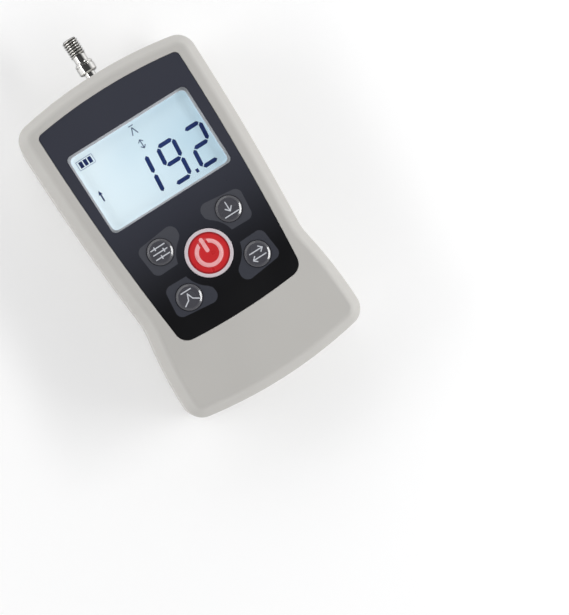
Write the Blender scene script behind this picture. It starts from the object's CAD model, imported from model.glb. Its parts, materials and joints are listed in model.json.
# %% [markdown]
# # A pocket force gauge
#
# The object is a small hand-held instrument that measures how hard something pushes or pulls on a
# threaded steel stud. Two pale grey moulded shells hold a dark face panel, a backlit display and
# five keys. The solids come from a CAD model, which fixes every size and place. This script dresses
# them: it adds the parts that are finer than the solids, gives every part its finish, and lights it.
#
# Everything is in metres. The gauge lies on its back, +Y runs along the stud and +Z comes out of
# the face.

# %% Load the solids
import functools
import json
import math
import bmesh
import bpy
from mathutils import Matrix, Vector
from mathutils.geometry import tessellate_polygon


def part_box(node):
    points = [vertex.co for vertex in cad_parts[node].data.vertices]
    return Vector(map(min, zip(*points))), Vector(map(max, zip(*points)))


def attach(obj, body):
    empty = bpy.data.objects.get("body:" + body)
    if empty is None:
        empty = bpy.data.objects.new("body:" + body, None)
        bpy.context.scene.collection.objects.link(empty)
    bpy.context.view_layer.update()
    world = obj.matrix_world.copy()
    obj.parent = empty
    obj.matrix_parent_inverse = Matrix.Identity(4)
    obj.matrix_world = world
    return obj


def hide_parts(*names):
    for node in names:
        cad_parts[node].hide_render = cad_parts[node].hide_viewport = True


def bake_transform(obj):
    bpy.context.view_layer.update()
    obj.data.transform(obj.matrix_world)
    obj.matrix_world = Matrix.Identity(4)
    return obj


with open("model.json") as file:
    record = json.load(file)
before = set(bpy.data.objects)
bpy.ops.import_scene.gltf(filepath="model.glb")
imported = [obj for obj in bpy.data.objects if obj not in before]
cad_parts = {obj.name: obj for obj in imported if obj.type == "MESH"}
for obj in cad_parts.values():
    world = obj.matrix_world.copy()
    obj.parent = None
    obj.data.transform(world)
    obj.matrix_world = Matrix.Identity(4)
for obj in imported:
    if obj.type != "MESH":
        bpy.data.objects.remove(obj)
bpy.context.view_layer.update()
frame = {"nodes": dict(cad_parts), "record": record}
solids = frame["nodes"]
print("solids loaded:", len(solids))

# %% [markdown]
# ## Working in millimetres
#
# The sizes are written in millimetres, and Blender's scene is in metres, so one constant turns one
# into the other. Heights that a new part has to sit on are read from the solids.

# %% Sizes that other parts sit on
MM = 0.001


def middle_of(node):
    """Centre of a solid's box."""
    low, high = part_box(node)
    return (low + high) / 2


def add_to_scene(name, data):
    """An object in the scene, made from a mesh, a lamp or a camera."""
    thing = bpy.data.objects.new(name, data)
    bpy.context.scene.collection.objects.link(thing)
    return thing


glass_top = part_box("lcd_glass")[1].z
panel_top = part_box("face_panel")[1].z
power_middle = middle_of("power_key")
function_keys = {name: middle_of(name + "_key") for name in ("set", "zero", "peak", "unit")}
print("glass and panel tops, mm:", round(glass_top / MM, 2), round(panel_top / MM, 2))

# %% [markdown]
# ## The camera
#
# The instrument is looked at from almost straight above, from about 0.7 m, with its head leaning to
# the left. Where the camera stands, what it looks at and which way is up in its picture give its
# axes, which are the columns of its matrix. The lens follows from the focal length in pixels.

# %% Make the camera
PICTURE_WIDTH = 569
SENSOR_WIDTH = 36.0
FOCAL_PIXELS = 1932.0
CAMERA_LEAN = math.radians(32.76)
camera_place = Vector((-55.2, -28.3, 732.4)) * MM
camera_target = Vector((12.4, -43.6, 35.0)) * MM

camera_data = bpy.data.cameras.new("viewpoint")
camera_data.sensor_fit = "HORIZONTAL"
camera_data.sensor_width = SENSOR_WIDTH
camera_data.lens = SENSOR_WIDTH * FOCAL_PIXELS / PICTURE_WIDTH
camera_data.clip_start, camera_data.clip_end = 0.01, 20.0
camera = add_to_scene("viewpoint", camera_data)

backward = (camera_place - camera_target).normalized()
upright = Vector((math.sin(CAMERA_LEAN), math.cos(CAMERA_LEAN), 0.0))
sideways = upright.cross(backward).normalized()
upward = backward.cross(sideways)
turned_camera = Matrix((sideways, upward, backward)).transposed().to_4x4()
camera.matrix_world = Matrix.Translation(camera_place) @ turned_camera
bpy.context.scene.camera = camera
print("lens", round(camera_data.lens, 1), "mm")

# %% [markdown]
# ## Colours and nodes
#
# `paint` turns eight-bit screen steps, which follow the eye, into the amounts of light that a shader
# works in. A value that is the same all over is typed into the shader's own socket, and only what
# changes over the surface comes in through nodes. `wire` takes both.

# %% Helpers for colours and nodes
def paint(red, green, blue):
    """A colour written in eight-bit screen steps, as linear light with full alpha."""
    steps = [value / 255 for value in (red, green, blue)]
    light = [s / 12.92 if s <= 0.04045 else ((s + 0.055) / 1.055) ** 2.4 for s in steps]
    return (*light, 1.0)


def shaded(color, share):
    """A colour made darker or lighter by a share of itself."""
    return (*[min(1.0, channel * share) for channel in color[:3]], 1.0)


def wire(node, feeds):
    """Gives a node's inputs, by name or number, plain values or other nodes' outputs."""
    for key, value in feeds.items():
        if isinstance(value, bpy.types.NodeSocket):
            node.id_data.links.new(value, node.inputs[key])
        else:
            node.inputs[key].default_value = value


def new_node(tree, kind, feeds=None, **settings):
    """A node in a tree, with some of its settings and what its inputs get."""
    node = tree.nodes.new(kind)
    for setting, value in settings.items():
        setattr(node, setting, value)
    wire(node, feeds or {})
    return node


def new_material(name, roughness=0.5, metallic=0.0):
    """A material with its Principled shader, ready for nodes."""
    material = bpy.data.materials.new(name)
    material.use_nodes = True
    tree = material.node_tree
    shader = tree.nodes["Principled BSDF"]
    wire(shader, {"Roughness": roughness, "Metallic": metallic})
    return material, tree, shader


print("white is", tuple(round(c, 2) for c in paint(255, 255, 255)))

# %% Helpers for one node each
def calculate(tree, operation, *values, clamp=False):
    """The result of a Math node."""
    return new_node(tree, "ShaderNodeMath", dict(enumerate(values)), operation=operation,
                    use_clamp=clamp).outputs[0]


def vector_math(tree, operation, *values, **named):
    """The result of a Vector Math node."""
    node = new_node(tree, "ShaderNodeVectorMath", {**dict(enumerate(values)), **named},
                    operation=operation)
    return node.outputs["Value" if operation in ("DOT_PRODUCT", "LENGTH") else "Vector"]


def split(tree, vector):
    """A vector's three parts."""
    return new_node(tree, "ShaderNodeSeparateXYZ", {0: vector}).outputs


def mixed(tree, share, first, second, kind="RGBA"):
    """Two colours or numbers mixed: share 0 gives the first, and 1 the second."""
    return new_node(tree, "ShaderNodeMix", {"Factor": share, "A": first, "B": second},
                    data_type=kind).outputs["Result"]


def ranged(tree, value, low, high, **settings):
    """How far a value has come from one limit to the other, from 0 to 1."""
    return new_node(tree, "ShaderNodeMapRange", {"Value": value, "From Min": low, "From Max": high},
                    **settings).outputs[0]


def color_ramp(tree, value, *stops):
    """A colour that follows a value between two stops, each (place, colour)."""
    node = new_node(tree, "ShaderNodeValToRGB", {"Fac": value})
    for element, (position, color) in zip(node.color_ramp.elements, stops):
        element.position = position
        element.color = color
    return node.outputs["Color"]


def object_place(tree):
    """The surface's own place, in metres."""
    return new_node(tree, "ShaderNodeTexCoord").outputs["Object"]


def noise(tree, place, scale, detail=2.0):
    """Smooth noise. The scale is how many blotches fit in a metre."""
    return new_node(tree, "ShaderNodeTexNoise", {"Vector": place, "Scale": scale, "Detail": detail}
                    ).outputs["Fac"]


print("helpers ready")

# %% [markdown]
# ## Effects that several finishes share
#
# A moulded skin, a machined skin and printed lines turn up on many parts. Each is a node group,
# built once and used with other numbers in each material. A group gives out only colours, masks and
# heights, and the shader stays in the material.

# %% Helpers for groups
def start_group(name, inputs, outputs, kind="ShaderNodeTree"):
    """A node group with named sockets of some kind, what its inputs give, and its output node."""
    tree = bpy.data.node_groups.new(name, kind)
    for way, sockets in (("INPUT", inputs), ("OUTPUT", outputs)):
        for socket_name, socket_kind in sockets.items():
            tree.interface.new_socket(socket_name, in_out=way, socket_type="NodeSocket" + socket_kind)
    return tree, new_node(tree, "NodeGroupInput").outputs, new_node(tree, "NodeGroupOutput")


def use_group(tree, group, place, **values):
    """What a group gives in a material, with its own values. Names use _ for a space."""
    feeds = {name.replace("_", " "): value for name, value in values.items()}
    return new_node(tree, "ShaderNodeGroup", {"Place": place, **feeds}, node_tree=group).outputs


print("helpers ready")

# %% [markdown]
# ### A moulded or cast skin
#
# A moulded part has a very fine even grain, and its colour and gloss wander a little over a few
# centimetres. A fine noise makes the grain's height, and a broad one mixes two near colours and two
# near roughness values.

# %% The skin group
BLOTCH_RANGE = (0.3, 0.7)
SKIN = {"Color": "Color", "Roughness": "Float", "Height": "Float"}
skin_group, skin_in, skin_out = start_group(
    "moulded_skin",
    {"Place": "Vector", "Light Color": "Color", "Dark Color": "Color", "Smooth": "Float",
     "Rough": "Float", "Blotch Scale": "Float", "Grain Scale": "Float"}, SKIN)
blotches = ranged(skin_group, noise(skin_group, skin_in["Place"], skin_in["Blotch Scale"]), *BLOTCH_RANGE)
wire(skin_out, {
    "Color": mixed(skin_group, blotches, skin_in["Dark Color"], skin_in["Light Color"]),
    "Roughness": mixed(skin_group, blotches, skin_in["Smooth"], skin_in["Rough"], "FLOAT"),
    "Height": noise(skin_group, skin_in["Place"], skin_in["Grain Scale"], 1.0),
})
print("skin group nodes:", len(skin_group.nodes))

# %% [markdown]
# ### Printed lines and rings
#
# Ink that follows a domed key is easiest as a mask worked out from where the surface is: a stroke is
# every place nearer to a line than half its width, and a ring is every place between two radii.
# Adding them draws any simple sign, and the mask stays sharp at any distance.

# %% The stroke group and the ring group
FLAT = (1.0, 1.0, 0.0)


def soft_edge(tree, distance, limit, softness):
    """1 where a distance is under a limit and 0 where it is over, with a soft step between."""
    over = calculate(tree, "SUBTRACT", limit, distance)
    return calculate(tree, "ADD", calculate(tree, "DIVIDE", over, softness), 0.5, clamp=True)


stroke_group, stroke_in, stroke_out = start_group(
    "printed_stroke",
    {"Place": "Vector", "Start": "Vector", "End": "Vector", "Half Width": "Float", "Softness": "Float"},
    {"Mask": "Float"})
vector = functools.partial(vector_math, stroke_group)
from_start = vector("SUBTRACT", vector("MULTIPLY", stroke_in["Place"], FLAT), stroke_in["Start"])
stroke_way = vector("SUBTRACT", stroke_in["End"], stroke_in["Start"])
share_along = calculate(stroke_group, "DIVIDE", vector("DOT_PRODUCT", from_start, stroke_way),
                        vector("DOT_PRODUCT", stroke_way, stroke_way), clamp=True)
stroke_gap = vector("LENGTH", vector("SUBTRACT", from_start, vector("SCALE", stroke_way, Scale=share_along)))
wire(stroke_out, {
    "Mask": soft_edge(stroke_group, stroke_gap, stroke_in["Half Width"], stroke_in["Softness"])})

ring_group, ring_in, ring_out = start_group(
    "printed_ring",
    {"Place": "Vector", "Middle": "Vector", "Inner": "Float", "Outer": "Float", "Softness": "Float"},
    {"Mask": "Float"})
vector = functools.partial(vector_math, ring_group)
ring_place = vector("MULTIPLY", ring_in["Place"], FLAT)
ring_radius = vector("LENGTH", vector("SUBTRACT", ring_place, ring_in["Middle"]))
ring_disc, ring_hole = [soft_edge(ring_group, ring_radius, ring_in[limit], ring_in["Softness"])
                        for limit in ("Outer", "Inner")]
wire(ring_out, {"Mask": calculate(ring_group, "SUBTRACT", ring_disc, ring_hole)})
print("stroke and ring nodes:", len(stroke_group.nodes), len(ring_group.nodes))

# %% [markdown]
# ## Plastic finishes
#
# What tells one plastic from another is its colour, how glossy it is and how coarse its grain is, so
# one function makes them all from a short table. A clear coat has a normal of its own, so it is
# given the same bumps as what lies under it.

# %% Make the plastics
GLOSS_WANDER = 0.04


def bump(shader, height, distance, strength=0.5):
    """Adds a height map to a shader's normals. The distance is in millimetres."""
    node = new_node(shader.id_data, "ShaderNodeBump", {
        "Distance": distance * MM, "Strength": strength, "Height": height})
    normal = shader.inputs["Normal"]
    if normal.is_linked:
        wire(node, {"Normal": normal.links[0].from_socket})
    wire(shader, {"Normal": node.outputs["Normal"]})


def coat(shader, weight, roughness):
    """A clear coat that follows the same bumps as what is under it."""
    wire(shader, {"Coat Weight": weight, "Coat Roughness": roughness,
                  "Coat Normal": shader.inputs["Normal"].links[0].from_socket})


def skinned(tree, shader, color, roughness, grain, blotch, depth, contrast=0.03):
    """Feeds a shader from the skin group and gives the skin's colour. Sizes are in millimetres."""
    skin = use_group(tree, skin_group, object_place(tree),
                     Light_Color=shaded(color, 1 + contrast), Dark_Color=shaded(color, 1 - contrast),
                     Smooth=roughness - GLOSS_WANDER, Rough=roughness + GLOSS_WANDER,
                     Blotch_Scale=1 / (blotch * MM), Grain_Scale=1 / (grain * MM))
    wire(shader, {"Roughness": skin["Roughness"]})
    bump(shader, skin["Height"], depth)
    return skin["Color"]


def plastic(name, color, roughness, grain=0.4, blotch=18.0, depth=0.01, contrast=0.03):
    """A moulded plastic of one colour."""
    material, tree, shader = new_material(name)
    skin_color = skinned(tree, shader, color, roughness, grain, blotch, depth, contrast)
    wire(shader, {"Base Color": skin_color})
    return material


finishes = {
    "housing": plastic("satin_grey_shell", paint(184, 182, 178), 0.46, depth=0.03, blotch=30.0,
                       contrast=0.015),
    "display_frame": plastic("bezel_grey", paint(224, 228, 234), 0.36),
    "backlight": plastic("diffuser_white", paint(232, 240, 243), 0.5, grain=0.6),
    "switch_plastic": plastic("switch_black", paint(34, 34, 36), 0.38),
    "switch_stem": plastic("stem_black", paint(44, 44, 46), 0.34),
    "chip_plastic": plastic("epoxy_black", paint(38, 38, 40), 0.55, grain=0.15),
    "sleeve": plastic("shrunk_sleeve_blue", paint(38, 84, 150), 0.3, grain=1.6, depth=0.05,
                      contrast=0.06),
    "card": plastic("fibre_card", paint(206, 190, 140), 0.6, grain=0.25, contrast=0.08),
    "lead_red": plastic("lead_sheath_red", paint(176, 30, 34), 0.4, grain=0.5),
    "lead_grey": plastic("lead_sheath_grey", paint(120, 122, 126), 0.45, grain=0.5),
    "plug_plastic": plastic("plug_cream", paint(226, 220, 202), 0.45),
    "socket_plastic": plastic("socket_black", paint(26, 26, 28), 0.36),
}
print("plastics:", len(finishes))

# %% [markdown]
# ## Metal finishes
#
# A turned part carries fine rings from the lathe, and a rolled or drawn one carries straight
# streaks. Both are the same noise, squeezed along the direction in which the tool cut. A metal
# mirrors more, and whiter, where it is seen at a low angle. In a white room that would hide the
# edges of the steel shaft, so its tint for those angles is dark.

# %% Make the metals
ALONG_X = (200.0, 6000.0, 6000.0)
ALONG_Y = (6000.0, 200.0, 6000.0)
RINGS_ON_Y = (300.0, 9000.0, 300.0)
EVEN = (3000.0, 3000.0, 3000.0)
EDGE_TINT = (0.15, 0.15, 0.16, 1.0)
METAL_GLOSS = (-0.05, 0.07)
METAL_SHADES = (0.94, 1.04)
MARK_DEPTH = 0.004

machined_group, machined_in, machined_out = start_group(
    "machined_skin",
    {"Place": "Vector", "Streaks": "Vector", "Smooth": "Float", "Rough": "Float",
     "Light Color": "Color", "Dark Color": "Color"}, SKIN)
streaks = noise(machined_group, vector_math(machined_group, "MULTIPLY", machined_in["Place"],
                                            machined_in["Streaks"]), 1.0, 3.0)
wire(machined_out, {
    "Color": mixed(machined_group, streaks, machined_in["Dark Color"], machined_in["Light Color"]),
    "Roughness": mixed(machined_group, streaks, machined_in["Smooth"], machined_in["Rough"], "FLOAT"),
    "Height": streaks,
})


def metal(name, color, roughness, direction):
    """A metal with marks left by how it was made."""
    material, tree, shader = new_material(name, metallic=1.0)
    dark, light = [shaded(color, share) for share in METAL_SHADES]
    smooth, rough = [roughness + change for change in METAL_GLOSS]
    skin = use_group(tree, machined_group, object_place(tree), Streaks=direction, Smooth=smooth,
                     Rough=rough, Light_Color=light, Dark_Color=dark)
    wire(shader, {"Base Color": skin["Color"], "Roughness": skin["Roughness"]})
    bump(shader, skin["Height"], MARK_DEPTH)
    return material


finishes.update({
    "shaft_steel": metal("turned_stainless", paint(238, 237, 234), 0.13, RINGS_ON_Y),
    "screw_steel": metal("zinc_screw", paint(196, 198, 200), 0.3, EVEN),
    "bush_steel": metal("plated_bush", paint(206, 204, 196), 0.25, EVEN),
    "clamp_steel": metal("rolled_strap", paint(188, 190, 192), 0.34, ALONG_X),
    "cell_can": metal("nickel_can", paint(200, 200, 200), 0.28, ALONG_Y),
    "load_cell": metal("milled_alloy_beam", paint(208, 208, 210), 0.32, ALONG_X),
    "aluminium": metal("rolled_alloy_plate", paint(196, 198, 200), 0.4, ALONG_Y),
    "brass": metal("brass_pin", paint(214, 178, 96), 0.25, RINGS_ON_Y),
})
steel_tree = finishes["shaft_steel"].node_tree
steel_shader = steel_tree.nodes["Principled BSDF"]
wire(steel_shader, {"Specular Tint": EDGE_TINT})
print("finishes so far:", len(finishes))

# %% [markdown]
# ## The dark face film
#
# The face panel is a film printed from behind, almost black at its foot and a cool slate grey at its
# head. It is satin, with a very fine orange-peel wave that softens what it mirrors and a few specks
# of dust.

# %% Make the face film and the paler key fields
FADE_FOOT = -28.0
FADE_HEAD = 20.0
DUST_PITCH = 4.0
DUST_SIZE = 0.02


def film(name, foot_color, head_color):
    """A printed and laminated film, whose colour fades along the gauge."""
    material, tree, shader = new_material(name)
    place = object_place(tree)
    skin_color = skinned(tree, shader, foot_color, 0.42, grain=0.9, blotch=25.0, depth=0.006)
    toward_head = ranged(tree, split(tree, place)["Y"], FADE_FOOT * MM, FADE_HEAD * MM,
                         interpolation_type="SMOOTHSTEP")
    printed = mixed(tree, toward_head, skin_color, head_color)
    specks = new_node(tree, "ShaderNodeTexVoronoi", {"Vector": place, "Scale": 1 / (DUST_PITCH * MM)})
    dust = calculate(tree, "LESS_THAN", specks.outputs["Distance"], DUST_SIZE)
    wire(shader, {"Base Color": mixed(tree, dust, printed, shaded(foot_color, 1.6)),
                  "Specular IOR Level": 0.35})
    coat(shader, 0.25, 0.14)
    return material


finishes["panel"] = film("blue_black_film", paint(9, 9, 12), paint(53, 55, 65))
key_field_film = film("grey_film", paint(56, 58, 66), paint(75, 76, 82))
print("films:", finishes["panel"].name, key_field_film.name)

# %% [markdown]
# ## The display's glass, its light and its window
#
# The display is lit from behind by a pale blue-white lamp that is stronger at its left, so the glass
# glows and is whiter there. One gradient along the width gives its colour and its glow. The window
# in front is clear polished acrylic, which lets daylight through to the glass without a shadow.

# %% Make the display glass and the clear window
CLOUD_SIZE = 22.0
CLOUD_SHARE = 0.5
GLOW = 0.58
WEAR = 0.04
WEAR_SIZE, TINT_SIZE = 12.0, 30.0


def lit_glass():
    """The display's pale field, which glows."""
    material, tree, shader = new_material("lit_display_glass", roughness=0.3)
    place = object_place(tree)
    left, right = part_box("lcd_glass")
    across = ranged(tree, split(tree, place)["X"], left.x, right.x)
    cloud = calculate(tree, "MULTIPLY_ADD", noise(tree, place, 1 / (CLOUD_SIZE * MM), 1.0),
                      CLOUD_SHARE, -CLOUD_SHARE / 2)
    light = color_ramp(tree, calculate(tree, "ADD", across, cloud),
                       (0.05, paint(230, 244, 250)), (0.95, paint(190, 215, 228)))
    body = new_node(tree, "ShaderNodeMix", {"Factor": 1.0, "A": light, "B": paint(196, 198, 200)},
                    data_type="RGBA", blend_type="MULTIPLY")
    wire(shader, {"Base Color": body.outputs["Result"], "Emission Color": light,
                  "Emission Strength": GLOW})
    return material


def clear_window():
    """Polished clear acrylic."""
    material, tree, shader = new_material("clear_acrylic", roughness=0.02)
    place = object_place(tree)
    wear = calculate(tree, "MULTIPLY", noise(tree, place, 1 / (WEAR_SIZE * MM)), WEAR)
    tint = mixed(tree, noise(tree, place, 1 / (TINT_SIZE * MM)), paint(250, 252, 252), paint(255, 255, 255))
    wire(shader, {"IOR": 1.49, "Transmission Weight": 1.0, "Roughness": wear, "Base Color": tint})
    paths = new_node(tree, "ShaderNodeLightPath").outputs
    through = calculate(tree, "MAXIMUM", paths["Is Shadow Ray"], paths["Is Diffuse Ray"])
    clear = new_node(tree, "ShaderNodeBsdfTransparent").outputs[0]
    choice = new_node(tree, "ShaderNodeMixShader", {0: through, 1: shader.outputs[0], 2: clear})
    wire(tree.nodes["Material Output"], {"Surface": choice.outputs[0]})
    return material


finishes["lcd"] = lit_glass()
finishes["lens"] = clear_window()
print("finishes so far:", len(finishes))

# %% [markdown]
# ## The keys and their printed signs
#
# Each function key is a low dome of dark grey film with a plain sign in thin pale lines: three lines
# for the settings, an arrow that comes down to a base line for zero, a peak under a bar for the
# highest reading, and two opposed arrows for the change of unit. Joining masks means taking the
# greatest.

# %% Helpers that draw signs
SHARP = 0.03
DISC = -1000.0


def on_key(middle, x=0, y=0):
    """A point on a key, in metres, from millimetres off its middle."""
    return (middle.x + x * MM, middle.y + y * MM, 0.0)


def greatest(tree, masks):
    """One mask that is as strong as the strongest of several."""
    return functools.reduce(lambda first, second: calculate(tree, "MAXIMUM", first, second), masks)


def strokes(tree, place, middle, lines, width):
    """The mask of straight strokes, each (x, y, x, y), in millimetres off a key's middle."""
    return greatest(tree, [
        use_group(tree, stroke_group, place, Start=on_key(middle, x1, y1), End=on_key(middle, x2, y2),
                  Half_Width=width * MM / 2, Softness=SHARP * MM)["Mask"]
        for x1, y1, x2, y2 in lines])


def ring(tree, place, middle, inner, outer, softness=SHARP):
    """The mask of a ring round a key's middle, in millimetres. An inner radius of DISC fills it."""
    return use_group(tree, ring_group, place, Middle=on_key(middle), Inner=inner * MM,
                     Outer=outer * MM, Softness=softness * MM)["Mask"]


KEY_SIGNS = {
    "set": [(-2.8, 1.9, 2.8, 1.9), (-2.8, 0.0, 2.8, 0.0), (-2.8, -1.9, 2.8, -1.9),
            (-1.2, 2.5, -1.2, 1.3), (1.5, 0.6, 1.5, -0.6), (-0.4, -1.3, -0.4, -2.5)],
    "zero": [(0.0, 2.6, 0.0, -1.0), (-1.3, 0.4, 0.0, -1.0), (1.3, 0.4, 0.0, -1.0),
             (-2.8, -2.3, 2.8, -2.3)],
    "peak": [(-2.9, -2.2, -0.9, -0.9), (-0.9, -0.9, 0.0, 1.4), (0.0, 1.4, 0.9, -0.9),
             (0.9, -0.9, 2.9, -2.2), (-2.0, 2.5, 2.0, 2.5)],
    "unit": [(-2.7, 1.2, 2.7, 1.2), (1.5, 2.3, 2.7, 1.2), (1.5, 0.1, 2.7, 1.2),
             (-2.7, -1.4, 2.7, -1.4), (-1.5, -0.3, -2.7, -1.4), (-1.5, -2.5, -2.7, -1.4)],
}
print("signs for:", list(KEY_SIGNS))

# %% Make the function keys' finish
SIGN_WIDTH = 0.42
DOME_RADIUS = 4.45
DOME_SLOPE = 1.0
DOME_RISE = 0.44


def function_key_finish():
    """Dark grey domes with the four signs in pale ink."""
    material, tree, shader = new_material("key_grey_film")
    color = skinned(tree, shader, paint(70, 70, 76), 0.27, grain=0.9, blotch=12.0, depth=0.004)
    place = object_place(tree)
    signs = [strokes(tree, place, function_keys[name], lines, SIGN_WIDTH)
             for name, lines in KEY_SIGNS.items()]
    wire(shader, {"Base Color": mixed(tree, greatest(tree, signs), color, paint(196, 199, 205))})
    domes = [ring(tree, place, middle, DISC, DOME_RADIUS, DOME_SLOPE) for middle in function_keys.values()]
    bump(shader, greatest(tree, domes), DOME_RISE, 1.0)
    coat(shader, 1.0, 0.07)
    return material


finishes["function_key"] = function_key_finish()
print("function keys:", sorted(function_keys))

# %% [markdown]
# ## The red power key
#
# The large key is a red disc inside a pale ring, with the usual sign for power: a ring open at its
# top, and a bar that stands in the gap. The gap is a thick stroke taken out of a ring mask, and the
# bar is one more stroke. The sign and the rim stand up a little, and catch the light.

# %% Make the power key's finish
SIGN_RING = (3.7, 5.2)
SIGN_GAP = ([(0.0, 3.0, 0.0, 7.0)], 3.4)
SIGN_BAR = ([(0.0, 1.1, 0.0, 5.5)], 1.5)
GROOVE_RING = (7.05, 7.7, 0.5)
RIM_RING = (7.65, 20.0)
RAISED = (((3.8, 5.1, 0.8), 0.3), ((7.6, 8.5, 0.5), 0.12))


def power_key_finish():
    """Red film, pale rim and the power sign."""
    material, tree, shader = new_material("key_red_film")
    red = skinned(tree, shader, paint(198, 40, 44), 0.3, grain=0.9, blotch=6.0, depth=0.004, contrast=0.05)
    place = object_place(tree)
    key_ring = functools.partial(ring, tree, place, power_middle)
    key_strokes = functools.partial(strokes, tree, place, power_middle)
    open_ring = calculate(tree, "SUBTRACT", key_ring(*SIGN_RING), key_strokes(*SIGN_GAP), clamp=True)
    mark = greatest(tree, [open_ring, key_strokes(*SIGN_BAR)])
    color = mixed(tree, key_ring(*GROOVE_RING), red, paint(140, 22, 28))
    color = mixed(tree, mark, color, paint(236, 168, 170))
    color = mixed(tree, key_ring(*RIM_RING), color, paint(206, 196, 201))
    wire(shader, {"Base Color": color})
    for radii, rise in RAISED:
        bump(shader, key_ring(*radii), rise, 1.0)
    coat(shader, 1.0, 0.09)
    return material


finishes["power_key"] = power_key_finish()
print("power key middle:", [round(c / MM, 1) for c in power_middle])

# %% [markdown]
# ## Finishes inside the case
#
# What is inside is finished too. The circuit board is green lacquer over copper tracks, which a
# brick pattern draws as straight runs. The display's contact strips are rubber with black conducting
# layers, and the strain gauges are a metal foil grid on an amber film. A striped wave makes both.

# %% Make the patterned inner finishes
TRACKS = {"Brick Width": 7.0 * MM, "Row Height": 1.3 * MM, "Mortar Size": 0.18 * MM}


def striped(name, first, second, pitch, roughness, metallic=0.0):
    """Two colours in stripes across X, with their pitch in millimetres."""
    material, tree, shader = new_material(name, roughness, metallic)
    wave = new_node(tree, "ShaderNodeTexWave", {
        "Vector": object_place(tree), "Scale": math.pi / (10 * pitch * MM), "Distortion": 0.2,
    }, bands_direction="X").outputs["Fac"]
    wire(shader, {"Base Color": mixed(tree, wave, first, second)})
    bump(shader, wave, 0.01)
    return material


def circuit_board():
    """Green lacquer over copper tracks."""
    material, tree, shader = new_material("green_lacquer")
    color = skinned(tree, shader, paint(20, 92, 52), 0.3, grain=0.4, blotch=10.0, depth=0.01)
    tracks = new_node(tree, "ShaderNodeTexBrick", {"Vector": object_place(tree), "Scale": 1.0, **TRACKS},
                      offset=0.37, squash=1.0)
    wire(shader, {"Base Color": mixed(tree, tracks.outputs["Fac"], color, paint(52, 128, 76))})
    coat(shader, 0.3, 0.1)
    return material


finishes["board"] = circuit_board()
finishes["contact_rubber"] = striped("contact_rubber", paint(226, 190, 190), paint(30, 30, 32), 0.18, 0.6)
finishes["foil"] = striped("gauge_foil", paint(196, 132, 52), paint(206, 204, 200), 0.3, 0.35, 0.4)
missing = sorted({m["slot"] for m in frame["record"]["materials"]} - set(finishes))
print("finishes:", len(finishes), "slots without one:", missing)

# %% [markdown]
# ## Dress the solids
#
# Each solid came with the name of its material slot. It keeps its mesh, and only the material in
# that slot changes.

# %% Give every solid its finish
slot_of = {name: solid.data.materials[0].name for name, solid in solids.items()}
for name, solid in solids.items():
    solid.data.materials[0] = finishes[slot_of[name]]
print("dressed:", len(slot_of), "solids")

# %% [markdown]
# ## Thin printed plates
#
# The paler fields round the keys and the marks on the display are made as real, closed plates a few
# hundredths of a millimetre thick. An outline and its holes are filled with triangles, the filling
# is put at the top and, turned over, at the bottom, and walls join the two.

# %% Helpers that make flat plates
def keep_shape(name, shape, material):
    """An object with one material, from a mesh that was being edited."""
    mesh = bpy.data.meshes.new(name)
    shape.to_mesh(mesh)
    shape.free()
    mesh.materials.append(material)
    return add_to_scene(name, mesh)


def plates(name, shapes, bottom, thickness, material):
    """Closed flat plates as one object. Each shape lists outlines in millimetres, holes after the first."""
    plate = bmesh.new()
    for shape in shapes:
        outlines = [[Vector((x * MM, y * MM, 0.0)) for x, y in outline] for outline in shape]
        low, high = [[[plate.verts.new((point.x, point.y, z)) for point in outline] for outline in outlines]
                     for z in (bottom, bottom + thickness)]
        low_all, high_all = sum(low, []), sum(high, [])
        for triangle in tessellate_polygon(outlines):
            plate.faces.new([high_all[i] for i in triangle])
            plate.faces.new([low_all[i] for i in reversed(triangle)])
        for low_ring, high_ring in zip(low, high):
            for i, vertex in enumerate(low_ring):
                j = (i + 1) % len(low_ring)
                plate.faces.new((vertex, low_ring[j], high_ring[j], high_ring[i]))
    bmesh.ops.recalc_face_normals(plate, faces=plate.faces[:])
    return keep_shape(name, plate, material)


def circle(x, y, radius, steps=64):
    """A round outline."""
    turns = [2 * math.pi * i / steps for i in range(steps)]
    return [(x + radius * math.cos(turn), y + radius * math.sin(turn)) for turn in turns]


def rounded(corners, steps=8):
    """An outline whose corners, each (x, y, radius), are rounded."""
    outline = []
    for i, (x, y, radius) in enumerate(corners):
        corner = Vector((x, y))
        before = (Vector(corners[i - 1][:2]) - corner).normalized()
        after = (Vector(corners[(i + 1) % len(corners)][:2]) - corner).normalized()
        if radius == 0:
            outline.append((x, y))
            continue
        half_angle = before.angle(after) / 2
        start, end = [corner + side * radius / math.tan(half_angle) for side in (before, after)]
        middle = corner + (before + after).normalized() * radius / math.sin(half_angle)
        for k in range(steps + 1):
            point = start.lerp(end, k / steps) - middle
            outline.append(tuple(middle + point.normalized() * radius))
    return outline


print("a circle has", len(circle(0, 0, 1)), "points")

# %% [markdown]
# ## The fields round the four function keys
#
# The film is printed paler round each small key. The four fields mirror one another about the power
# key, and the hollow side of each is an arc about that key's centre.

# %% Print the four key fields
FIELD_THICKNESS = 0.02 * MM
FIELD_CORNERS = [(20.9, 2.4, 2.6), (22.1, 14.5, 2.6), (4.9, 16.5, 2.9), (5.5, 11.2, 1.6)]
HOLLOW_RADIUS = 11.9
HOLLOW_FROM = 56.0
HOLLOW_TO = 13.0
HOLLOW_STEPS = 12
KEY_HOLE_RADIUS = 5.08
SIDES = {"set": (-1, 1), "zero": (1, 1), "peak": (-1, -1), "unit": (1, -1)}

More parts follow.
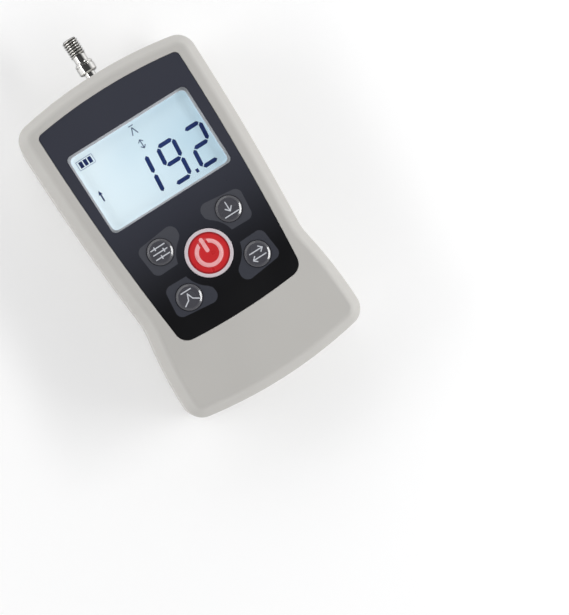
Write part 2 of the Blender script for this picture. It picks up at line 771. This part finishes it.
hollow_turns = [math.radians(HOLLOW_FROM + (HOLLOW_TO - HOLLOW_FROM) * step / HOLLOW_STEPS)
                for step in range(HOLLOW_STEPS + 1)]
field_outline = rounded(FIELD_CORNERS + [
    (HOLLOW_RADIUS * math.cos(turn), HOLLOW_RADIUS * math.sin(turn), 0) for turn in hollow_turns])
field_shapes = []
for name, (side, end) in SIDES.items():
    placed = [(power_middle.x / MM + side * x, power_middle.y / MM + end * y) for x, y in field_outline]
    key = function_keys[name] / MM
    field_shapes.append([placed, circle(key.x, key.y, KEY_HOLE_RADIUS)])
key_fields = plates("key_fields", field_shapes, panel_top, FIELD_THICKNESS, key_field_film)
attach(key_fields, "housing")
print("key fields:", len(key_fields.data.polygons), "faces")

# %% [markdown]
# ## The display's marks
#
# A segment display draws every figure from the same seven six-sided bars, leaned a little to the
# right, and a figure is the list of its lit bars. Round the reading there are a battery sign with
# three cells, an arrow for the direction of the force, and signs for held peaks and for the unit.

# %% Draw the reading
MARK_THICKNESS = 0.03 * MM
FIGURE_WIDTH = 6.5
FIGURE_HALF = 7.4
FIGURE_LEAN = 0.096
FIGURE_PITCH = 11.65
FIGURE_BASE = (3.55, 15.33)
DECIMAL_POINT = (12.3, 14.65, 13.45, 16.1)
BAR_HALF_WIDTH = 0.8
BAR_GAP = 0.26
BAR_ROUND = 0.08
BARS = {
    "top": ((0, 2), (1, 2)), "upper_left": ((0, 1), (0, 2)), "upper_right": ((1, 1), (1, 2)),
    "middle": ((0, 1), (1, 1)), "lower_left": ((0, 0), (0, 1)), "lower_right": ((1, 0), (1, 1)),
    "bottom": ((0, 0), (1, 0)),
}
FIGURES = {
    -1: ("upper_right", "lower_right"),
    0: ("top", "upper_left", "upper_right", "middle", "lower_right", "bottom"),
    1: ("top", "upper_right", "middle", "lower_left", "bottom"),
}


def bar_outline(ends):
    """One bar of a figure: six-sided, and drawn in from its two ends, each (column, row)."""
    a, b = [Vector((column * FIGURE_WIDTH, row * FIGURE_HALF)) for column, row in ends]
    way = (b - a).normalized()
    aside = Vector((-way.y, way.x)) * BAR_HALF_WIDTH
    tip_a, tip_b = a + way * BAR_GAP, b - way * BAR_GAP
    neck_a, neck_b = tip_a + way * BAR_HALF_WIDTH, tip_b - way * BAR_HALF_WIDTH
    sharp = [tip_a, neck_a - aside, neck_b - aside, tip_b, neck_b + aside, neck_a + aside]
    return rounded([(point.x, point.y, BAR_ROUND) for point in sharp], steps=3)


def box_outline(x1, y1, x2, y2):
    """An upright rectangle."""
    return [(x1, y1), (x2, y1), (x2, y2), (x1, y2)]


def ink(name, color):
    """The dark crystal of a lit bar, seen through the glass."""
    return plastic(name, color, 0.35, grain=0.5, blotch=8.0, depth=0.003)


figure_shapes = [
    [[(FIGURE_BASE[0] + FIGURE_PITCH * number + x + FIGURE_LEAN * y, FIGURE_BASE[1] + y)
      for x, y in bar_outline(BARS[bar])]]
    for number, lit in FIGURES.items() for bar in lit]
figure_shapes.append([box_outline(*DECIMAL_POINT)])
figure_ink = ink("display_blue", paint(24, 46, 104))
display_figures = plates("display_figures", figure_shapes, glass_top, MARK_THICKNESS, figure_ink)
print("bars lit:", len(figure_shapes) - 1)

# %% Draw the small signs
BATTERY_CELLS = [(left, 38.25, left + 1.4, 40.65) for left in (-22.25, -20.4, -18.55)]
BATTERY_WALLS = [((-23.1, 37.6, -16.3, 41.3), 0.4), ((-22.85, 37.85, -16.55, 41.05), 0.2)]
FORCE_ARROW = [(-21.5, 28.3), (-22.25, 26.5), (-21.75, 26.7), (-21.8, 23.9), (-21.25, 23.9), (-21.2, 26.7),
               (-20.7, 26.5)]
PEAK_AND_UNIT = [
    (-0.1, 38.5, 1.05, 41.3, 0.4), (1.05, 41.3, 2.2, 38.5, 0.4), (0.1, 42.0, 2.0, 42.0, 0.35),
    (1.1, 32.55, 1.1, 36.05, 0.4), (1.1, 36.05, 0.15, 35.0, 0.35), (1.1, 36.05, 2.05, 35.0, 0.35),
    (1.1, 32.55, 0.15, 33.6, 0.35), (1.1, 32.55, 2.05, 33.6, 0.35)]


def stroke_outline(x1, y1, x2, y2, width):
    """A straight stroke with square ends."""
    a, b = Vector((x1, y1)), Vector((x2, y2))
    aside = (b - a).orthogonal().normalized() * width / 2
    return [tuple(a - aside), tuple(b - aside), tuple(b + aside), tuple(a + aside)]


display_signs = plates("display_signs", [[box_outline(*cell)] for cell in BATTERY_CELLS] + [[FORCE_ARROW]],
                       glass_top, MARK_THICKNESS, figure_ink)
thin_signs = plates("display_thin_signs", [[stroke_outline(*stroke)] for stroke in PEAK_AND_UNIT],
                    glass_top, MARK_THICKNESS / 2, ink("display_thin_blue", paint(88, 106, 138)))
case_walls = [rounded([(x, y, radius) for x, y in box_outline(*wall)], 3) for wall, radius in BATTERY_WALLS]
battery_case = plates("display_battery_case", [case_walls], glass_top, MARK_THICKNESS / 2,
                      ink("display_faint_blue", paint(168, 186, 208)))
for marks in (display_figures, display_signs, thin_signs, battery_case):
    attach(marks, "housing")
print("small signs:", len(BATTERY_CELLS) + len(PEAK_AND_UNIT) + 2)

# %% [markdown]
# ## The threaded steel shaft
#
# The force comes in through a stud with a metric thread. A thread follows a rule, which suits
# Geometry Nodes: the radius rises and falls along the axis, and the pattern turns once round the
# shaft for each pitch. A flat grid is rolled into a tube, the rule sets each point's radius, and the
# first and last rows are drawn in to the axis, so the tube closes. The plain lengths are a profile
# taken round the axis. A trace of oil darkens the roots of the stud's thread.

# %% Build the thread's node tree
RIDGE_SLOPE = -1.35
RIDGE_TOP = 1.2
SEAM = 0.001


def start_geometry(name, sizes, counts=()):
    """A geometry group that is given sizes, counts and a material."""
    return start_group(name, {"Geometry": "Geometry", **dict.fromkeys(sizes, "Float"),
                              **dict.fromkeys(counts, "Int"), "Material": "Material"},
                       {"Geometry": "Geometry"}, "GeometryNodeTree")


def finish_geometry(geometry, given, output):
    """Makes copies real, gives the mesh its material and sends it out."""
    real = new_node(output.id_data, "GeometryNodeRealizeInstances", {"Geometry": geometry})
    dressed = new_node(output.id_data, "GeometryNodeSetMaterial", {
        "Geometry": real.outputs["Geometry"], "Material": given["Material"]})
    wire(output, {"Geometry": dressed.outputs["Geometry"]})


screw_thread, given, output = start_geometry("screw_thread", (
    "Length", "Crest Radius", "Root Radius", "Pitch", "Chamfer", "Start", "Axis Height"),
    ("Around", "Rows"))
number = functools.partial(calculate, screw_thread)

grid = new_node(screw_thread, "GeometryNodeMeshGrid", {
    "Size X": 1.0, "Size Y": 1.0, "Vertices X": given["Around"], "Vertices Y": given["Rows"]})
here = split(screw_thread, new_node(screw_thread, "GeometryNodeInputPosition").outputs[0])
turn = number("ADD", here["X"], 0.5)
angle = number("MULTIPLY", turn, 2 * math.pi)
last_row = number("SUBTRACT", given["Rows"], 1.0)
row = number("MULTIPLY", number("ADD", here["Y"], 0.5), last_row)
share = number("DIVIDE", number("SUBTRACT", row, 1.0), number("SUBTRACT", given["Rows"], 3.0), clamp=True)
along = number("MULTIPLY", share, given["Length"])

phase = number("FRACT", number("SUBTRACT", number("DIVIDE", along, given["Pitch"]), turn))
wave = number("ABSOLUTE", number("MULTIPLY_ADD", phase, 2.0, -1.0))
ridge = number("MULTIPLY_ADD", wave, RIDGE_SLOPE, RIDGE_TOP, clamp=True)
depth = number("SUBTRACT", given["Crest Radius"], given["Root Radius"])
threaded = number("MULTIPLY_ADD", ridge, depth, given["Root Radius"])
to_tip = number("SUBTRACT", given["Length"], along)
near_tip = number("MAXIMUM", number("SUBTRACT", given["Chamfer"], to_tip), 0.0)
chamfered = number("MINIMUM", threaded, number("SUBTRACT", given["Crest Radius"], near_tip))
after_first = number("GREATER_THAN", row, 0.5)
before_last = number("LESS_THAN", row, number("SUBTRACT", last_row, 0.5))
radius = number("MULTIPLY", chamfered, number("MULTIPLY", after_first, before_last))

rolled = new_node(screw_thread, "ShaderNodeCombineXYZ", {
    "X": number("MULTIPLY", radius, number("SINE", angle)),
    "Y": number("ADD", along, given["Start"]),
    "Z": number("ADD", number("MULTIPLY", radius, number("COSINE", angle)), given["Axis Height"])})
placed = new_node(screw_thread, "GeometryNodeSetPosition",
                  {"Geometry": grid.outputs["Mesh"], "Position": rolled.outputs[0]})
closed = new_node(screw_thread, "GeometryNodeMergeByDistance",
                  {"Geometry": placed.outputs["Geometry"], "Distance": SEAM * MM})
finish_geometry(closed.outputs["Geometry"], given, output)
print("thread tree nodes:", len(screw_thread.nodes))

# %% Helpers for round parts
def grown(name, tree, material, **values):
    """A plain mesh made by a geometry tree. Names use _ for a space."""
    seed = add_to_scene(name + "_seed", bpy.data.meshes.new(name + "_seed"))
    modifier = seed.modifiers.new("tree", "NODES")
    modifier.node_group = tree
    sockets = {item.name: item.identifier for item in tree.interface.items_tree if item.in_out == "INPUT"}
    for value_name, value in {**values, "Material": material}.items():
        modifier[sockets[value_name.replace("_", " ")]] = value
    graph = bpy.context.evaluated_depsgraph_get()
    mesh = bpy.data.meshes.new_from_object(seed.evaluated_get(graph))
    bpy.data.objects.remove(seed)
    mesh.name = name
    return add_to_scene(name, mesh)


def turned(name, profile, material, height, steps=96):
    """A closed turned part round +Y from (y, radius) pairs in millimetres."""
    part = bmesh.new()
    rings = []
    for y, radius in profile:
        outline = circle(height / MM, 0.0, radius, steps if radius else 1)
        points = [part.verts.new((x * MM, y * MM, z * MM)) for z, x in outline]
        rings.append(points if radius else points * steps)
    for first, second in zip(rings, rings[1:]):
        for i in range(steps):
            j = (i + 1) % steps
            part.faces.new(list(dict.fromkeys((first[i], first[j], second[j], second[i]))))
    bmesh.ops.recalc_face_normals(part, faces=part.faces[:])
    return keep_shape(name, part, material)


def joined(name, pieces):
    """Several objects' meshes as one object."""
    whole = bmesh.new()
    for piece in pieces:
        whole.from_mesh(piece.data)
    material = pieces[0].data.materials[0]
    for piece in pieces:
        bpy.data.objects.remove(piece)
    return keep_shape(name, whole, material)


print("helpers ready")

# %% Turn the plain lengths and cut the two threads
AROUND = 97
ROWS_PER_PITCH = 16
CREST, THREAD_ROOT, PITCH = 3.0, 2.42, 1.0
THREAD_LENGTH = 6.8
COLLAR_BEFORE_THREAD = 7.3
NECK_RADIUS, SHANK_RADIUS = 2.0, 2.5
COLLAR = [(-0.15, NECK_RADIUS), (0.0, 2.3), (0.0, 3.1), (0.35, 3.45), (2.75, 3.45), (2.95, 3.25),
          (3.15, 3.25), (3.35, 3.45), (3.9, 3.45), (4.3, 3.05), (4.3, 2.7), (4.5, SHANK_RADIUS)]
NECK_IN_COVER = 3.5
STUD_CHAMFER, ROOT_CHAMFER = 0.6, 0.4
SHARP_DEGREES = 32

stud_low, stud_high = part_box("sensing_shaft")
axis_height = (stud_low.z + stud_high.z) / 2
root_y, tip_y = stud_low.y / MM, stud_high.y / MM
neck_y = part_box("front_cover")[1].y / MM - NECK_IN_COVER
thread_y = tip_y - THREAD_LENGTH
collar_y = thread_y - COLLAR_BEFORE_THREAD


def thread(name, start, length, chamfer):
    """One thread of the shaft, in millimetres."""
    return grown(name, screw_thread, finishes["shaft_steel"], Length=length * MM, Crest_Radius=CREST * MM,
                 Root_Radius=THREAD_ROOT * MM, Pitch=PITCH * MM, Chamfer=chamfer * MM, Start=start * MM,
                 Axis_Height=axis_height, Around=AROUND, Rows=int(ROWS_PER_PITCH * length / PITCH) + 3)


profile = [(neck_y, 0), (neck_y, NECK_RADIUS), *[(collar_y + along, radius) for along, radius in COLLAR],
           (thread_y - 0.1, SHANK_RADIUS), (thread_y, THREAD_ROOT), (thread_y, 0)]
shaft = joined("threaded_shaft", [
    turned("plain_lengths", profile, finishes["shaft_steel"], axis_height),
    thread("stud_thread", thread_y, THREAD_LENGTH, STUD_CHAMFER),
    thread("root_thread", root_y, neck_y - root_y, ROOT_CHAMFER),
])
shaft.data.shade_smooth()
shaft.data.set_sharp_from_angle(angle=math.radians(SHARP_DEGREES))
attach(shaft, "sensing_shaft")
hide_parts("sensing_shaft")
print("shaft:", len(shaft.data.polygons), "faces, tip at", round(tip_y, 1), "mm")

# %% Leave oil in the roots of the stud's thread
OIL_BELOW_CREST = 0.12
vector = functools.partial(vector_math, steel_tree)
steel_place = object_place(steel_tree)
off_axis = vector("MULTIPLY", vector("SUBTRACT", steel_place, (0.0, 0.0, axis_height)), (1.0, 0.0, 1.0))
depth = ranged(steel_tree, vector("LENGTH", off_axis), (CREST - OIL_BELOW_CREST) * MM, THREAD_ROOT * MM)
on_stud = calculate(steel_tree, "GREATER_THAN", split(steel_tree, steel_place)["Y"], thread_y * MM)
clean_steel = steel_shader.inputs["Base Color"].links[0].from_socket
wire(steel_shader, {"Base Color": mixed(
    steel_tree, calculate(steel_tree, "MULTIPLY", depth, on_stud), clean_steel, paint(112, 110, 107))})
print("steel nodes:", len(steel_tree.nodes))

# %% [markdown]
# ## The load cell gives
#
# A load cell measures by bending: one end is screwed down, and the other moves with the shaft by up
# to 0.3 mm, so the cell and its strain gauges can't ride on one body. Copies of them are blended
# between the housing and the shaft, from where the clamped end stops to where the thread begins.

# %% Let the load cell give
for node, piece_name in (("load_cell", "giving_beam"), ("strain_gauges", "giving_foils")):
    piece = add_to_scene(piece_name, solids[node].data.copy())
    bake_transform(piece)
    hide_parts(node)
print("parts that give: 2")

# %% [markdown]
# ## The threads in the four stand bushes
#
# The bushes in the back take the screws of a test stand. A spiral curve with a small square section
# makes a thread's ridge, and four points carry a copy each. The copies are then made real, because
# an export keeps only real meshes.

# %% Cut the bush threads
BUSH = {"Bore Radius": 2.12, "Pitch": 0.8, "Depth": 6.4, "Spacing X": 30.0, "Spacing Y": 60.0, "Ridge": 0.24}
STEPS_PER_TURN = 32
FIRST_TURN = 0.35

tree, given, output = start_geometry("bush_threads", BUSH)
coil = new_node(tree, "GeometryNodeCurveSpiral", {
    "Resolution": STEPS_PER_TURN, "Start Radius": given["Bore Radius"], "End Radius": given["Bore Radius"],
    "Height": given["Depth"], "Rotations": calculate(tree, "DIVIDE", given["Depth"], given["Pitch"])})
section = new_node(tree, "GeometryNodeCurvePrimitiveCircle", {"Resolution": 4, "Radius": given["Ridge"]})
ridge = new_node(tree, "GeometryNodeCurveToMesh", {
    "Curve": coil.outputs[0], "Profile Curve": section.outputs[0], "Fill Caps": True})
corners = new_node(tree, "GeometryNodeMeshGrid", {
    "Vertices X": 2, "Vertices Y": 2, "Size X": given["Spacing X"], "Size Y": given["Spacing Y"]})
copies = new_node(tree, "GeometryNodeInstanceOnPoints", {
    "Points": corners.outputs["Mesh"], "Instance": ridge.outputs[0]})
finish_geometry(copies.outputs[0], given, output)
bush_threads = grown("bush_threads", tree, finishes["bush_steel"],
                     **{size: value * MM for size, value in BUSH.items()})
for vertex in bush_threads.data.vertices:
    vertex.co.z += FIRST_TURN * MM
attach(bush_threads, "housing")
print("bush threads:", len(bush_threads.data.polygons), "faces")

# %% [markdown]
# ## Floor, daylight and lamps
#
# The gauge lies on a white table in soft daylight that is brighter near the horizon than overhead,
# which is why its bevels look lighter than its face. A broad lamp over the head end puts a soft
# sheen on the dark film, and a long thin lamp on either side draws arcs on the domed keys. Light
# Path tells the rays apart: surfaces are lit by a stronger sky than mirrors and glass show, the
# camera sees the sky plain white, and the table is lifted towards white where it is seen.

# %% Make the sky
WHITE = (1.0, 1.0, 1.0, 1.0)
OVERHEAD = (0.05, 0.05, 0.052, 1.0)
SKY_LEVEL = 2.0


def seen_directly(tree, paths):
    """1 for what the camera sees straight, in a mirror or through glass, and 0 for light on a surface."""
    mirrored = calculate(tree, "MAXIMUM", paths["Is Glossy Ray"], paths["Is Transmission Ray"])
    return calculate(tree, "MAXIMUM", paths["Is Camera Ray"], mirrored)


def cleared_tree(owner):
    """The empty node tree of a world or a material."""
    owner.use_nodes = True
    owner.node_tree.nodes.clear()
    return owner.node_tree


sky = bpy.data.worlds.new("daylight")
bpy.context.scene.world = sky
sky_tree = cleared_tree(sky)
sky_way = split(sky_tree, new_node(sky_tree, "ShaderNodeTexCoord").outputs["Generated"])
sky_fade = color_ramp(sky_tree, sky_way["Z"], (0.2, WHITE), (0.8, OVERHEAD))
sky_paths = new_node(sky_tree, "ShaderNodeLightPath").outputs
sky_light = new_node(sky_tree, "ShaderNodeBackground", {
    "Color": mixed(sky_tree, sky_paths["Is Camera Ray"], sky_fade, WHITE),
    "Strength": calculate(sky_tree, "MULTIPLY_ADD", seen_directly(sky_tree, sky_paths), 1.0 - SKY_LEVEL,
                          SKY_LEVEL)})
new_node(sky_tree, "ShaderNodeOutputWorld", {"Surface": sky_light.outputs[0]})
print("sky nodes:", len(sky_tree.nodes))

# %% Make the floor
FLOOR_SIZE = 3.0
FLOOR_LEVEL = -0.02 * MM
FLOOR_GREY = (0.8, 0.8, 0.8, 1.0)
FLOOR_LIFT = 0.2

half = FLOOR_SIZE / 2
floor_mesh = bpy.data.meshes.new("floor")
floor_mesh.from_pydata([(x, y, FLOOR_LEVEL) for x, y in box_outline(-half, -half, half, half)], [],
                       [(0, 1, 2, 3)])
floor = add_to_scene("floor", floor_mesh)
floor_finish = bpy.data.materials.new("white_table")
floor_tree = cleared_tree(floor_finish)
floor_skin = new_node(floor_tree, "ShaderNodeBsdfDiffuse", {"Color": FLOOR_GREY})
floor_seen = seen_directly(floor_tree, new_node(floor_tree, "ShaderNodeLightPath").outputs)
floor_glow = new_node(floor_tree, "ShaderNodeEmission", {
    "Strength": calculate(floor_tree, "MULTIPLY", floor_seen, FLOOR_LIFT)})
floor_sum = new_node(floor_tree, "ShaderNodeAddShader", {0: floor_skin.outputs[0], 1: floor_glow.outputs[0]})
new_node(floor_tree, "ShaderNodeOutputMaterial", {"Surface": floor_sum.outputs[0]})
floor_mesh.materials.append(floor_finish)
print("floor:", FLOOR_SIZE, "m wide")

# %% Hang the lamps
def lamp(name, place, target, size, watts):
    """A soft oblong lamp that looks at a point. Places and sizes are in millimetres."""
    light = bpy.data.lights.new(name, "AREA")
    light.shape = "RECTANGLE"
    light.size, light.size_y = [side * MM for side in size]
    light.energy = watts
    holder = add_to_scene(name, light)
    way = (Vector(place) - Vector(target)) * MM
    holder.rotation_euler = way.to_track_quat("Z", "Y").to_euler()
    holder.location = Vector(place) * MM


lamp("head_lamp", (-60, 820, 660), (0, 20, 35), (1000, 520), 1.25)
lamp("right_strip", (520, -253, 420), (0, -20, 35), (540, 90), 2.1)
lamp("left_strip", (-500, 290, 400), (0, -20, 35), (460, 80), 1.0)
print("lamps: 3")

# %% [markdown]
# ## Finish
#
# The picture is shown with plain colours, and the sizes of the CAD model and of the dressed model
# are written down, so they can be compared.

# %% Write the sizes and finish
bpy.context.scene.view_settings.view_transform = "Standard"
